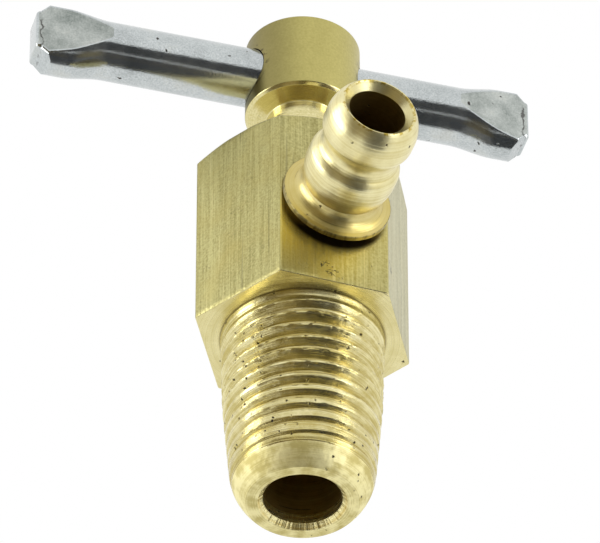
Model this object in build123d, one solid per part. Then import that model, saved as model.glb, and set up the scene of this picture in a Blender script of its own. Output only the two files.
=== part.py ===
from build123d import *
import os
from math import cos, radians, sin, sqrt, tan

# Radiator drain cock with a sliding cross bar and a side hose nipple.
# Lengths are in millimetres and angles in degrees. The origin is the centre of the pipe thread's free end.
# +Z runs up the stem, the hose nipple points to -Y and the cross bar lies along X. The valve is shut.

# Body: hexagon bar with a tapered pipe thread turned on its lower end
HEX_ACROSS_FLATS = 15.875
HEX_HEIGHT = 17.2
HEX_TOP_CIRCLE = 16.0
HEX_CHAMFER_ANGLE = 30.0
SPIGOT_LENGTH = 16.6
SPIGOT_TOP_DIAMETER = 13.4
SPIGOT_TAPER = 1 / 16
LEAD_LENGTH = 6.8
LEAD_END_DIAMETER = 11.8
NOSE_LENGTH = 3.0
NOSE_FACE_DIAMETER = 9.1

# Pipe thread: grooves a little wider than the pitch leave sharp crests between them
THREAD_PITCH = 1.24
THREAD_DEPTH = 0.6
THREAD_RUN_OUT = 1.72
THREAD_END = 2.0
GROOVE_WIDTH = 1.28

# Water way through the body
INLET_BORE = 6.35
INLET_COUNTERSINK = 7.2
THROAT_BORE = 6.0
THROAT_LENGTH = 3.0
SEAT_RISE = 1.2
SEAT_ANGLE = 60.0
PORT_BORE = 4.3

# Stem: head, neck, screw, shank and nose, turned in one piece
HEAD_DIAMETER = 9.6
HEAD_HEIGHT = 7.65
HEAD_EDGE = 0.25
HEAD_UNDERSIDE_DROP = 0.4
NECK_DIAMETER = 6.1
NECK_SHOWING = 6.6
SCREW_DIAMETER = 7.25
SCREW_LENGTH = 6.5
SCREW_DEPTH = 1.5
SCREW_EDGE = 0.4
SHANK_DIAMETER = 4.6
COLLAR_DIAMETER = 6.0
COLLAR_THICKNESS = 1.0
TIP_COLLAR = 0.9
TIP_DIAMETER = 5.4
TIP_LENGTH = 1.5
TIP_FACE_DIAMETER = 2.4
SCREW_CLEARANCE = 0.05

# Rubber ring in the stem's nose groove, sloped like the seat
RING_THICKNESS = 1.0
RING_INSIDE = 4.0
RING_CLEARANCE = 0.04

# Cross bar, loose in the head and swaged flat at both ends
BAR_DIAMETER = 4.95
BAR_LENGTH = 42.6
BAR_OFFSET = -1.9
BAR_TURN = -3.0
BAR_RISE = 3.65
BAR_CLEARANCE = 0.08
SWAGE_LENGTH = 6.3
SWAGE_FLARE = 3.6
SWAGE_WIDTH = 6.35
SWAGE_THICKNESS = 2.6
SWAGE_STEP = 0.05
SWAGE_BEVEL = 1.5

# Hose nipple, pressed into the side of the hexagon with a slight upward lean
NIPPLE_RISE = 8.3
NIPPLE_LEAN = 5.0
NIPPLE_LENGTH = 10.9
NIPPLE_BORE = 4.7
MOUTH_DIAMETER = 6.0
MOUTH_DEPTH = 0.7
FLANGE_DIAMETER = 9.1
FLANGE_THICKNESS = 0.45
FLANGE_GAP = 0.02
ROOT_DIAMETER = 6.5
ROOT_FILLET = 1.25
BULB_DIAMETER = 7.65
BULB_LAND = 0.6
BULB_PITCH = 4.2
INNER_BULB = 4.2
WAIST_DIAMETER = 6.4
TAIL_DIAMETER = 6.2
TAIL_LENGTH = 3.0
TAIL_FIT = 0.01

# Past a face, so that a cutter breaks cleanly through it
OVERCUT = 1.0

# Heights along the stem's axis
hex_top = SPIGOT_LENGTH + HEX_HEIGHT
seat_height = SPIGOT_LENGTH + SEAT_RISE
head_bottom = hex_top + NECK_SHOWING
head_top = head_bottom + HEAD_HEIGHT
bar_height = head_bottom + BAR_RISE
screw_top = hex_top - SCREW_DEPTH
screw_bottom = screw_top - SCREW_LENGTH

# The stem's screw and the valve chamber below it share one bore
chamber_radius = SCREW_DIAMETER / 2 + SCREW_CLEARANCE
throat_radius = THROAT_BORE / 2
seat_slope = tan(radians(SEAT_ANGLE / 2))
seat_top = seat_height + (chamber_radius - throat_radius) / seat_slope

# The ring's sloped side just clears the seat when the stem is screwed down
ring_top = seat_height + RING_THICKNESS
ring_bottom_radius = throat_radius - RING_CLEARANCE / cos(radians(SEAT_ANGLE / 2))
ring_top_radius = ring_bottom_radius + RING_THICKNESS * seat_slope

# The cross hole's axis, as the stem stands with the valve shut
bar_place = Pos(0, 0, bar_height) * Rot(0, 0, BAR_TURN)

# The nipple's own axis starts on the middle of the front flat
nipple_place = Plane(
    origin=(0, -HEX_ACROSS_FLATS / 2, SPIGOT_LENGTH + NIPPLE_RISE),
    x_dir=(1, 0, 0),
    z_dir=(0, -cos(radians(NIPPLE_LEAN)), sin(radians(NIPPLE_LEAN))),
)
# The leaning flange touches the flat at the top of its rim and stands off at the bottom
flange_stand = FLANGE_DIAMETER / 2 * tan(radians(NIPPLE_LEAN)) + FLANGE_GAP


def turned(outline):
    """Solid turned about Z from a closed outline of (radius, height) points."""
    return revolve(Plane.XZ * make_face(outline), Axis.Z)


def taper_radius(height):
    """Radius over the pipe thread's crests, before the lead is turned on them."""
    return (SPIGOT_TOP_DIAMETER - (SPIGOT_LENGTH - height) * SPIGOT_TAPER) / 2


def thread_grooves():
    """Section of the thread's grooves, as rings at its pitch, from the run-out down to the nose."""
    top_groove = SPIGOT_LENGTH - THREAD_RUN_OUT
    count = int((top_groove - THREAD_END) / THREAD_PITCH) + 1
    groove = make_face(
        Polyline((0, 0), (2 * THREAD_DEPTH, GROOVE_WIDTH), (2 * THREAD_DEPTH, -GROOVE_WIDTH), close=True)
    )
    grooves = Sketch()
    for index in range(count):
        height = top_groove - index * THREAD_PITCH
        grooves += Pos(taper_radius(height) - THREAD_DEPTH, height) * groove
    return grooves


def spigot():
    """Tapered pipe thread with a lead turned on its crests and a rounded nose."""
    lead_top = NOSE_LENGTH + LEAD_LENGTH
    lead_top_radius = taper_radius(lead_top)
    lead_end = (LEAD_END_DIAMETER / 2, NOSE_LENGTH)
    face_edge = (NOSE_FACE_DIAMETER / 2, 0)
    lead_fall = (lead_end[0] - lead_top_radius, -LEAD_LENGTH)
    nose = TangentArc(lead_end, face_edge, tangent=lead_fall)
    sides = Polyline(
        lead_end,
        (lead_top_radius, lead_top),
        (SPIGOT_TOP_DIAMETER / 2, SPIGOT_LENGTH),
        (0, SPIGOT_LENGTH),
        (0, 0),
        face_edge,
    )
    section = make_face(nose + sides) - thread_grooves()
    return revolve(Plane.XZ * section, Axis.Z)


def hexagon():
    """Hexagon bar with its top corners turned off at the chamfer angle."""
    bar = extrude(RegularPolygon(HEX_ACROSS_FLATS / 2, 6, major_radius=False), HEX_HEIGHT)
    corner = HEX_ACROSS_FLATS / sqrt(3) + OVERCUT
    chamfer_drop = (corner - HEX_TOP_CIRCLE / 2) * tan(radians(HEX_CHAMFER_ANGLE))
    turned_top = turned(
        Polyline(
            (0, SPIGOT_LENGTH),
            (corner, SPIGOT_LENGTH),
            (corner, hex_top - chamfer_drop),
            (HEX_TOP_CIRCLE / 2, hex_top),
            (0, hex_top),
            close=True,
        )
    )
    return (Pos(0, 0, SPIGOT_LENGTH) * bar) & turned_top


def water_way():
    """Inlet, throat, seat, chamber and screw bore, one above the other."""
    inlet_radius = INLET_BORE / 2
    countersink_radius = INLET_COUNTERSINK / 2
    countersink_depth = countersink_radius - inlet_radius
    inlet_end = seat_height - THROAT_LENGTH
    return turned(
        Polyline(
            (0, -OVERCUT),
            (countersink_radius + OVERCUT, -OVERCUT),
            (inlet_radius, countersink_depth),
            (inlet_radius, inlet_end),
            (throat_radius, inlet_end),
            (throat_radius, seat_height),
            (chamber_radius, seat_top),
            (chamber_radius, hex_top - SCREW_EDGE),
            (chamber_radius + SCREW_EDGE + OVERCUT, hex_top + OVERCUT),
            (0, hex_top + OVERCUT),
            close=True,
        )
    )


def outlet_port():
    """Hole for the nipple's tail, and the port from its bottom to the chamber."""
    tail_depth = TAIL_LENGTH - flange_stand
    tail_hole = Pos(0, 0, -tail_depth) * Cylinder(
        TAIL_DIAMETER / 2 + TAIL_FIT,
        tail_depth + OVERCUT,
        align=(Align.CENTER, Align.CENTER, Align.MIN),
    )
    port = Cylinder(
        PORT_BORE / 2, HEX_ACROSS_FLATS / 2, align=(Align.CENTER, Align.CENTER, Align.MAX)
    )
    return nipple_place * (tail_hole + port)


def valve_body():
    """Hexagon and threaded spigot in one piece, drilled through."""
    return hexagon() + spigot() - water_way() - outlet_port()


def bulb_side(land, waist, rise):
    """Side of a bulb: it leaves its land as a round and runs into the waist as a hollow."""
    middle = ((land[0] + waist[0]) / 2, (land[1] + waist[1]) / 2)
    return TangentArc(land, middle, tangent=(0, rise)) + TangentArc(waist, middle, tangent=(0, -rise))


def hose_nipple():
    """Flange, two rounded bulbs and a countersunk mouth, turned about the nipple's own axis."""
    bulb_radius = BULB_DIAMETER / 2
    outer_bulb = INNER_BULB + BULB_PITCH
    root = (ROOT_DIAMETER / 2, FLANGE_THICKNESS + ROOT_FILLET)
    flange_face = (ROOT_DIAMETER / 2 + ROOT_FILLET, FLANGE_THICKNESS)
    waist = (WAIST_DIAMETER / 2, INNER_BULB + BULB_PITCH / 2)
    mouth = (MOUTH_DIAMETER / 2, NIPPLE_LENGTH)
    inner_land = [(bulb_radius, INNER_BULB - BULB_LAND / 2), (bulb_radius, INNER_BULB + BULB_LAND / 2)]
    outer_land = [(bulb_radius, outer_bulb - BULB_LAND / 2), (bulb_radius, outer_bulb + BULB_LAND / 2)]
    outside = (
        TangentArc(root, flange_face, tangent=(0, -1))
        + TangentArc(inner_land[0], root, tangent=(0, -1))
        + Line(inner_land[0], inner_land[1])
        + bulb_side(inner_land[1], waist, 1)
        + bulb_side(outer_land[0], waist, -1)
        + Line(outer_land[0], outer_land[1])
        + TangentArc(outer_land[1], mouth, tangent=(0, 1))
    )
    rest = Polyline(
        mouth,
        (NIPPLE_BORE / 2, NIPPLE_LENGTH - MOUTH_DEPTH),
        (NIPPLE_BORE / 2, -TAIL_LENGTH),
        (TAIL_DIAMETER / 2, -TAIL_LENGTH),
        (TAIL_DIAMETER / 2, 0),
        (FLANGE_DIAMETER / 2, 0),
        (FLANGE_DIAMETER / 2, FLANGE_THICKNESS),
        flange_face,
    )
    return nipple_place.offset(flange_stand) * turned(outside + rest)


def stem():
    """Head, neck, screw, shank, ring groove and nose in one turning, with the cross hole through the head."""
    groove_radius = RING_INSIDE / 2 - RING_CLEARANCE
    groove_bottom = seat_height - RING_CLEARANCE
    groove_top = ring_top + RING_CLEARANCE
    collar_top = groove_top + COLLAR_THICKNESS
    tip_shoulder = groove_bottom - TIP_COLLAR
    screw_radius = SCREW_DIAMETER / 2
    head_radius = HEAD_DIAMETER / 2
    blank = turned(
        Polyline(
            (0, tip_shoulder - TIP_LENGTH),
            (TIP_FACE_DIAMETER / 2, tip_shoulder - TIP_LENGTH),
            (TIP_DIAMETER / 2, tip_shoulder),
            (TIP_DIAMETER / 2, groove_bottom),
            (groove_radius, groove_bottom),
            (groove_radius, groove_top),
            (COLLAR_DIAMETER / 2, groove_top),
            (COLLAR_DIAMETER / 2, collar_top),
            (SHANK_DIAMETER / 2, collar_top),
            (SHANK_DIAMETER / 2, screw_bottom),
            (screw_radius - SCREW_EDGE, screw_bottom),
            (screw_radius, screw_bottom + SCREW_EDGE),
            (screw_radius, screw_top - SCREW_EDGE),
            (screw_radius - SCREW_EDGE, screw_top),
            (NECK_DIAMETER / 2, screw_top),
            (NECK_DIAMETER / 2, head_bottom - HEAD_UNDERSIDE_DROP),
            (head_radius - HEAD_EDGE, head_bottom),
            (head_radius, head_bottom + HEAD_EDGE),
            (head_radius, head_top - HEAD_EDGE),
            (head_radius - HEAD_EDGE, head_top),
            (0, head_top),
            close=True,
        )
    )
    cross_hole = Rot(0, 90, 0) * Cylinder(BAR_DIAMETER / 2 + BAR_CLEARANCE, HEAD_DIAMETER + OVERCUT)
    return blank - bar_place * cross_hole


def swaged_end():
    """One end of the bar: it spreads upright between two sloping dies, and its corners are bevelled."""
    bar_radius = BAR_DIAMETER / 2
    end = BAR_LENGTH / 2
    start = end - SWAGE_LENGTH
    flared = Ellipse(bar_radius, SWAGE_WIDTH / 2)
    flare = loft(
        [
            Plane.YZ.offset(start) * Circle(bar_radius),
            Plane.YZ.offset(start + SWAGE_FLARE) * flared,
        ]
    )
    spread = flare + extrude(Plane.YZ.offset(start + SWAGE_FLARE) * flared, SWAGE_LENGTH - SWAGE_FLARE)
    between_dies = Polyline(
        (start, bar_radius - SWAGE_STEP),
        (end, SWAGE_THICKNESS / 2),
        (end, -SWAGE_THICKNESS / 2),
        (start, -bar_radius + SWAGE_STEP),
        close=True,
    )
    dies = extrude(make_face(between_dies), SWAGE_WIDTH, both=True)
    bevelled_tip = Polyline(
        (start, SWAGE_WIDTH / 2),
        (end - SWAGE_BEVEL, SWAGE_WIDTH / 2),
        (end, SWAGE_WIDTH / 2 - SWAGE_BEVEL),
        (end, SWAGE_BEVEL - SWAGE_WIDTH / 2),
        (end - SWAGE_BEVEL, -SWAGE_WIDTH / 2),
        (start, -SWAGE_WIDTH / 2),
        close=True,
    )
    tip = extrude(Plane.XZ * make_face(bevelled_tip), BAR_DIAMETER, both=True)
    return spread & dies & tip


def handle_bar():
    """Round bar with a swaged end on each side, shifted along its hole as it lies in the head."""
    plain_length = BAR_LENGTH - 2 * SWAGE_LENGTH
    plain = Rot(0, 90, 0) * Cylinder(BAR_DIAMETER / 2, plain_length)
    end = swaged_end()
    bar = plain + end + mirror(end, about=Plane.YZ)
    return bar_place * Pos(BAR_OFFSET, 0, 0) * bar


def seat_ring():
    """Rubber ring in the stem's groove, with its outside sloped to meet the seat."""
    return turned(
        Polyline(
            (RING_INSIDE / 2, seat_height),
            (ring_bottom_radius, seat_height),
            (ring_top_radius, ring_top),
            (RING_INSIDE / 2, ring_top),
            close=True,
        )
    )


os.makedirs("parts", exist_ok=True)
for make_piece in (valve_body, hose_nipple, stem, handle_bar, seat_ring):
    export_step(make_piece(), f"parts/{make_piece.__name__}.step")
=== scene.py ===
from math import atan2, ceil, cos, pi, radians, sin, sqrt, tan

import bmesh
import bpy
import numpy as np
from mathutils import Matrix, Vector


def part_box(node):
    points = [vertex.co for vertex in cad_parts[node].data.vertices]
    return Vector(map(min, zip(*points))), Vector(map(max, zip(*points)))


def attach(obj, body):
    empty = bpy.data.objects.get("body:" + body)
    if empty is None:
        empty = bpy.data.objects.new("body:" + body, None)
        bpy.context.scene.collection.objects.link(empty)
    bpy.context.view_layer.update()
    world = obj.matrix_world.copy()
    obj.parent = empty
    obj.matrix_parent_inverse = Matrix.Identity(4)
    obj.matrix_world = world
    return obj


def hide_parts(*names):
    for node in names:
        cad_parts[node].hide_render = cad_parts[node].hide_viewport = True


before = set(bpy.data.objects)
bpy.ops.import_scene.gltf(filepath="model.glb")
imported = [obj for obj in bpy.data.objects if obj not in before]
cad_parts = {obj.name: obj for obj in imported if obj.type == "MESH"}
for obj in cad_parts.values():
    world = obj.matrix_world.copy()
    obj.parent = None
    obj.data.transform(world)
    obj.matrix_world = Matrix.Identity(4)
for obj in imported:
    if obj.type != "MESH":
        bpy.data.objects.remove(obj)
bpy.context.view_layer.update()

# Radiator drain cock: brass body on a pipe thread, side hose nipple, screw stem and sliding cross bar.
# Lengths are in metres, in the frame of the solids: +Z up the stem, the nipple to -Y, the bar along X.
MM = 0.001

# Body
HEX_FLAT = 15.875 / 2 * MM
HEX_CORNER_ROUND = 0.22 * MM
LEAST_CORNER_ROUND = 0.02 * MM
HEX_RIM_ROUND = 0.12 * MM
HEX_TOP_CIRCLE = 8.0 * MM
TOP_FACE_RADIUS = 7.6 * MM
TOP_CHAMFER_RADIUS = 7.9 * MM
HEX_CHAMFER = radians(30)
HEX_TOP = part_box("valve_body")[1].z
SHOULDER = 16.6 * MM
SPIGOT_TOP_RADIUS = 6.7 * MM
SPIGOT_FALL = 1 / 32
LEAD_TOP = 9.8 * MM
LEAD_END_RADIUS = 5.9 * MM
NOSE_TOP = 3.0 * MM
NOSE_FINISH_TOP = 1.8 * MM
NOSE_FACE_RADIUS = 4.55 * MM
INLET_RADIUS = 3.175 * MM
INLET_EDGE = 0.425 * MM
INLET_ROUND = 0.06 * MM
INLET_END = 14.8 * MM
INLET_LIP = 1.3 * MM
THROAT_RADIUS = 3.0 * MM
SEAT = 17.8 * MM
CHAMBER_RADIUS = 3.675 * MM
SEAT_TOP = SEAT + (CHAMBER_RADIUS - THROAT_RADIUS) / tan(radians(30))
SCREW_EDGE = 0.4 * MM

# Pipe thread: tapered, right-hand; its start is a share of a turn, its flats are shares of the pitch
THREAD_PITCH = 1.24 * MM
THREAD_DEPTH = 0.6 * MM
THREAD_LOW = 0.4 * MM
THREAD_HIGH = SHOULDER - 0.05 * MM
THREAD_RUN_OUT = 2.2 * MM
THREAD_RUN_IN = 0.01 * MM
THREAD_START = 0.02
CREST_FLAT = 0.11
ROOT_FLAT = 0.14
CREST_WEAR = 0.13 * MM

# Stem
HEAD_RADIUS = 4.8 * MM
HEAD_BOTTOM = 40.4 * MM
HEAD_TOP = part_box("stem")[1].z
HEAD_EDGE = 0.25 * MM
HEAD_UNDERSIDE_DROP = 0.4 * MM
NECK_RADIUS = 3.05 * MM
SCREW_RADIUS = 3.625 * MM
SCREW_TOP = 32.3 * MM
SCREW_BOTTOM = 25.8 * MM
SCREW_PITCH = 25.4 / 24 * MM
SCREW_DEPTH = 0.5 * MM
SCREW_RUN_OUT = 0.01 * MM
SCREW_CREST_FLAT = 0.15
SCREW_ROOT_FLAT = 0.1
SHANK_RADIUS = 2.3 * MM
COLLAR_RADIUS = 3.0 * MM
COLLAR_THICKNESS = 1.0 * MM
GROOVE_RADIUS = 1.96 * MM
RING_TOP = 18.8 * MM
RING_CLEARANCE = 0.04 * MM
RING_INSIDE_RADIUS = 2.0 * MM
RING_BOTTOM_RADIUS = THROAT_RADIUS - RING_CLEARANCE / cos(radians(30))
RING_TOP_RADIUS = RING_BOTTOM_RADIUS + (RING_TOP - SEAT) * tan(radians(30))
TIP_RADIUS = 2.7 * MM
TIP_COLLAR = 0.9 * MM
TIP_LENGTH = 1.5 * MM
TIP_FACE_RADIUS = 1.2 * MM

# Cross bar
BAR_RADIUS = 2.475 * MM
BAR_HOLE_RADIUS = 2.555 * MM
BAR_HALF = 21.3 * MM
BAR_OFFSET = -1.9 * MM
BAR_TURN = radians(-3)
BAR_HEIGHT = 44.05 * MM
SWAGE_LENGTH = 6.3 * MM
SWAGE_FLARE = 3.6 * MM
SWAGE_HALF_WIDTH = 3.175 * MM
SWAGE_HALF_THICKNESS = 1.3 * MM
SWAGE_STEP = 0.05 * MM
SWAGE_ROUND = 0.35 * MM
SWAGE_BEVEL = 1.5 * MM

# Hose nipple, about its own axis
NIPPLE_RISE = 8.3 * MM
NIPPLE_START = Vector((0, -HEX_FLAT, SHOULDER + NIPPLE_RISE))
NIPPLE_LEAN = radians(5)
NIPPLE_LENGTH = 10.9 * MM
NIPPLE_BORE_RADIUS = 2.35 * MM
MOUTH_RADIUS = 3.0 * MM
MOUTH_DEPTH = 0.7 * MM
FLANGE_RADIUS = 4.55 * MM
FLANGE_THICKNESS = 0.45 * MM
FLANGE_GAP = 0.02 * MM
FLANGE_STAND = FLANGE_RADIUS * tan(NIPPLE_LEAN) + FLANGE_GAP
ROOT_RADIUS = 3.25 * MM
ROOT_FILLET = 1.25 * MM
BULB_RADIUS = 3.825 * MM
BULB_LAND = 0.6 * MM
BULB_PITCH = 4.2 * MM
INNER_BULB = 4.2 * MM
WAIST_RADIUS = 3.2 * MM
TAIL_RADIUS = 3.1 * MM
TAIL_LENGTH = 3.0 * MM
TAIL_FIT = 0.01 * MM
PORT_RADIUS = 2.15 * MM

# Rounds on the edges
EDGE_BREAK = 0.05 * MM
SOFT_EDGE = 0.1 * MM
HEAD_ROUND = 0.2 * MM
NECK_FILLET = 0.12 * MM
FLANGE_BACK_ROUND = 0.03 * MM

# Wear, painted shade, painted light and a painted reflection on the flats, from where each begins to
# where it ends: places are taken from the nipple's root
PITTED_MIDDLE = 2.0 * MM
PITTED_REACH = (3.0 * MM, 4.0 * MM)
# Painted shade on the left flat and painted light on the right flat, by distance across
SHADED_SIDE = (-5.0 * MM, -4.0 * MM)
LIT_SIDE = (4.5 * MM, 4.9 * MM)
FRONT_FLAT_DEPTH = 0.04 * MM
# Painted gold reflection of the nipple on the front flat: reach from its axis, fade downwards and fade
# across
REFLECTION_REACH = (4.6 * MM, 9.5 * MM)
REFLECTION_DROP = (1.5 * MM, -2.0 * MM)
REFLECTION_SIDE = (-1.0 * MM, 3.5 * MM)
# Painted shadow in the gap under the flange: its reach from the nipple's axis, and its fade downwards
GAP_SHADOW_REACH = (4.45 * MM, 4.9 * MM)
GAP_SHADOW_DROP = (-1.2 * MM, -3.2 * MM)

# Wear and painted shade on the turned pieces and the bar
GROOVE_SHADE = (0.1 * MM, THREAD_DEPTH)
SHOULDER_SHADE_REACH = (SPIGOT_TOP_RADIUS + 0.02 * MM, SPIGOT_TOP_RADIUS + 0.14 * MM)
SHOULDER_SHADE_TOP = SHOULDER + 0.2 * MM
ROOT_DARKENING = (0.6 * MM, 3.6 * MM)
MOUTH_HEIGHT = FLANGE_STAND + NIPPLE_LENGTH
MOUTH_DIRT = (MOUTH_HEIGHT - 0.25 * MM, MOUTH_HEIGHT - 0.1 * MM)
FLANGE_WALL = (FLANGE_RADIUS - 0.08 * MM, FLANGE_RADIUS - 0.03 * MM)
# Painted shade round the cross hole, and the head's left side that painted shade darkens
HOLE_SHADE_REACH = (BAR_HOLE_RADIUS, BAR_HOLE_RADIUS + 0.9 * MM)
HEAD_SHADE_SIDE = (-4.8 * MM, -0.8 * MM)
FOLD_PLACE = 0.5 * MM
FOLD_WANDER = 1.2 * MM
FOLD_WIDTH = (0.03 * MM, 0.1 * MM)

# How finely round pieces are divided, welded and sorted by finish
SIDE_COLUMNS = 48
BODY_COLUMNS = 6 * SIDE_COLUMNS
CORNER_COLUMNS = 4
THREAD_ROWS = 14
TURNED_COLUMNS = 192
BAR_COLUMNS = 96
HOLE_COLUMNS = 96
OUTLINE_STEPS = 720
WELD = 1e-7
OVERCUT = 1.0 * MM
FACE_SLACK = 0.1 * MM
FLAT_SLACK = 0.2 * MM
BORE_SLACK = 0.005 * MM
UPRIGHT = 0.3
SHARP_EDGE = radians(24)

# Camera, placed so that the shoulder's centre shows at SHOULDER_PIXEL
IMAGE_WIDTH = 600
IMAGE_HEIGHT = 543
CAMERA_AZIMUTH = radians(-18.8)
CAMERA_ELEVATION = radians(-40.2)
CAMERA_DISTANCE = 550 * MM
PIXELS_PER_METRE = 12360
SHOULDER_PIXEL = (302.6, 341.5)
SENSOR_WIDTH = 36
CLIP_START = 10 * MM

# Stage, about a point within the hexagon
STAGE_MIDDLE = Vector((0, 0, 0.75 * HEX_TOP))
CARD_DISTANCE = 400 * MM
CARD_STEPS = 12
BOX_DISTANCE = 350 * MM
BOX_HEIGHT = 340 * MM
BOX_BRIGHTNESS = 3.2
FLOOR_HALF = 600 * MM
FLOOR_HEIGHT = -0.05 * MM


class Nodes:
    """A node tree with short calls that place a node, fill its inputs and give back what is needed."""

    def __init__(self, tree):
        self.tree = tree
        self.tree.nodes.clear()

    def put(self, kind, inputs=None, **settings):
        node = self.tree.nodes.new(kind)
        for name, value in settings.items():
            setattr(node, name, value)
        for key, value in (inputs or {}).items():
            socket = node.inputs[key]
            if isinstance(value, bpy.types.NodeSocket):
                self.tree.links.new(value, socket)
            else:
                socket.default_value = (*value, 1) if socket.type == "RGBA" else value
        return node

    def math(self, operation, *values):
        return self.put("ShaderNodeMath", dict(enumerate(values)), operation=operation).outputs[0]

    def chain(self, operation, values):
        total = values[0]
        for value in values[1:]:
            total = self.math(operation, total, value)
        return total

    def times(self, *values):
        return self.chain("MULTIPLY", values)

    def plus(self, *values):
        return self.chain("ADD", values)

    def most(self, *values):
        return self.chain("MAXIMUM", values)

    def minus(self, first, second):
        return self.math("SUBTRACT", first, second)

    def apart(self, first, second):
        return self.math("ABSOLUTE", self.minus(first, second))

    def ramp_value(self, value, low, high, to_low=0.0, to_high=1.0, smooth=False):
        settings = {"interpolation_type": "SMOOTHSTEP" if smooth else "LINEAR"}
        inputs = {0: value, 1: low, 2: high, 3: to_low, 4: to_high}
        return self.put("ShaderNodeMapRange", inputs, **settings).outputs[0]


def split_place(n, vector):
    return n.put("ShaderNodeSeparateXYZ", {0: vector}).outputs


def polar(radius, angle):
    return radius * Vector((cos(angle), sin(angle)))


def tangent_arc(start, tangent, end, steps):
    """Points of the arc that leaves start along tangent and stops at end, without its first point."""
    start, end = Vector(start), Vector(end)
    chord = end - start
    normal = Vector((-tangent[1], tangent[0])).normalized()
    radius = chord.length_squared / (2 * normal.dot(chord))
    centre = start + normal * radius
    first, last = start - centre, end - centre
    begin = atan2(first.y, first.x)
    turn = atan2(last.y, last.x) - begin
    turn = turn % (2 * pi) if radius > 0 else -(-turn % (2 * pi))
    return [centre + polar(abs(radius), begin + turn * i / steps) for i in range(1, steps + 1)]


def rounded(corners, steps=5, closed=False):
    """Outline through (radius, height, rounding) corners, with an arc at each that has a rounding."""
    points = []
    count = len(corners)
    for i, (radius, height, rounding) in enumerate(corners):
        here = Vector((radius, height))
        if rounding == 0 or (not closed and i in (0, count - 1)):
            points.append(here)
            continue
        to_before = (Vector(corners[i - 1][:2]) - here).normalized()
        to_after = (Vector(corners[(i + 1) % count][:2]) - here).normalized()
        reach = rounding / tan(to_before.angle(to_after) / 2)
        start = here + to_before * reach
        points.append(start)
        points.extend(tangent_arc(start, -to_before, here + to_after * reach, steps))
    return points


def band(rings, closed=False):
    """Vertices and faces of a strip of rings, each a closed row of points, joined one to the next."""
    rings = np.asarray(rings)
    count, columns = rings.shape[:2]
    faces = []
    for row in range(count if closed else count - 1):
        for column in range(columns):
            across = (column + 1) % columns
            above = (row + 1) % count
            corners = ((row, column), (row, across), (above, across), (above, column))
            faces.append(tuple(place[0] * columns + place[1] for place in corners))
    return rings.reshape(-1, 3), faces


def circle(radius, height, columns):
    turn = np.arange(columns) * 2 * pi / columns
    return np.stack([radius * np.cos(turn), radius * np.sin(turn), np.full(columns, height)], axis=1)


def add_object(name, data):
    obj = bpy.data.objects.new(name, data)
    bpy.context.scene.collection.objects.link(obj)
    return obj


def make_object(name, vertices, faces):
    mesh = bpy.data.meshes.new(name)
    mesh.from_pydata([tuple(v) for v in vertices], [], faces)
    return add_object(name, mesh)


def clean(obj):
    """Closes poles and seams, and turns every face outwards."""
    work = bmesh.new()
    work.from_mesh(obj.data)
    bmesh.ops.remove_doubles(work, verts=work.verts, dist=WELD)
    bmesh.ops.dissolve_degenerate(work, edges=work.edges, dist=WELD)
    bmesh.ops.recalc_face_normals(work, faces=work.faces)
    work.to_mesh(obj.data)
    work.free()


def apply_modifiers(obj):
    """Makes what the modifiers give the object's own plain mesh."""
    bpy.context.view_layer.update()
    evaluated = obj.evaluated_get(bpy.context.evaluated_depsgraph_get())
    mesh = bpy.data.meshes.new_from_object(evaluated)
    obj.modifiers.clear()
    old = obj.data
    obj.data = mesh
    bpy.data.meshes.remove(old)


def cut(obj, cutter):
    """Takes the cutter's form out of obj."""
    modifier = obj.modifiers.new("cut", "BOOLEAN")
    modifier.object = cutter
    modifier.operation = "DIFFERENCE"
    modifier.solver = "EXACT"
    apply_modifiers(obj)
    bpy.data.objects.remove(cutter)


def shade(obj):
    """Smooth shading, with the sharper edges kept as edges."""
    mesh = obj.data
    mesh.polygons.foreach_set("use_smooth", [True] * len(mesh.polygons))
    mesh.set_sharp_from_angle(angle=SHARP_EDGE)


def turned(name, outline, columns=TURNED_COLUMNS, closed=False):
    """Piece turned about Z from its (radius, height) outline; an end on the axis closes in a pole."""
    rings = [circle(point[0], point[1], columns) for point in outline]
    obj = make_object(name, *band(rings, closed))
    clean(obj)
    return obj


# Helical thread

# Sizes of a straight thread without lead or nose, where a piece doesn't set its own
PLAIN_THREAD = {
    "Pitch": 1.0, "Depth": 0.1, "Low": 0.0, "High": 1.0, "Turns": 3.0, "Start": 0.0,
    "Crest Flat": 0.12, "Root Flat": 0.12, "Top Radius": 1.0, "Top Height": 1.0, "Fall": 0.0,
    "Lead Top": -1.0, "Lead Fall": 0.0, "Nose Top": -1.0, "Nose Radius": 1.0, "Nose Centre Radius": 0.0,
    "Nose Centre Height": 0.0, "Run Out": 0.1, "Run In": 0.0, "Raggedness": 0.0,
}


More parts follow.
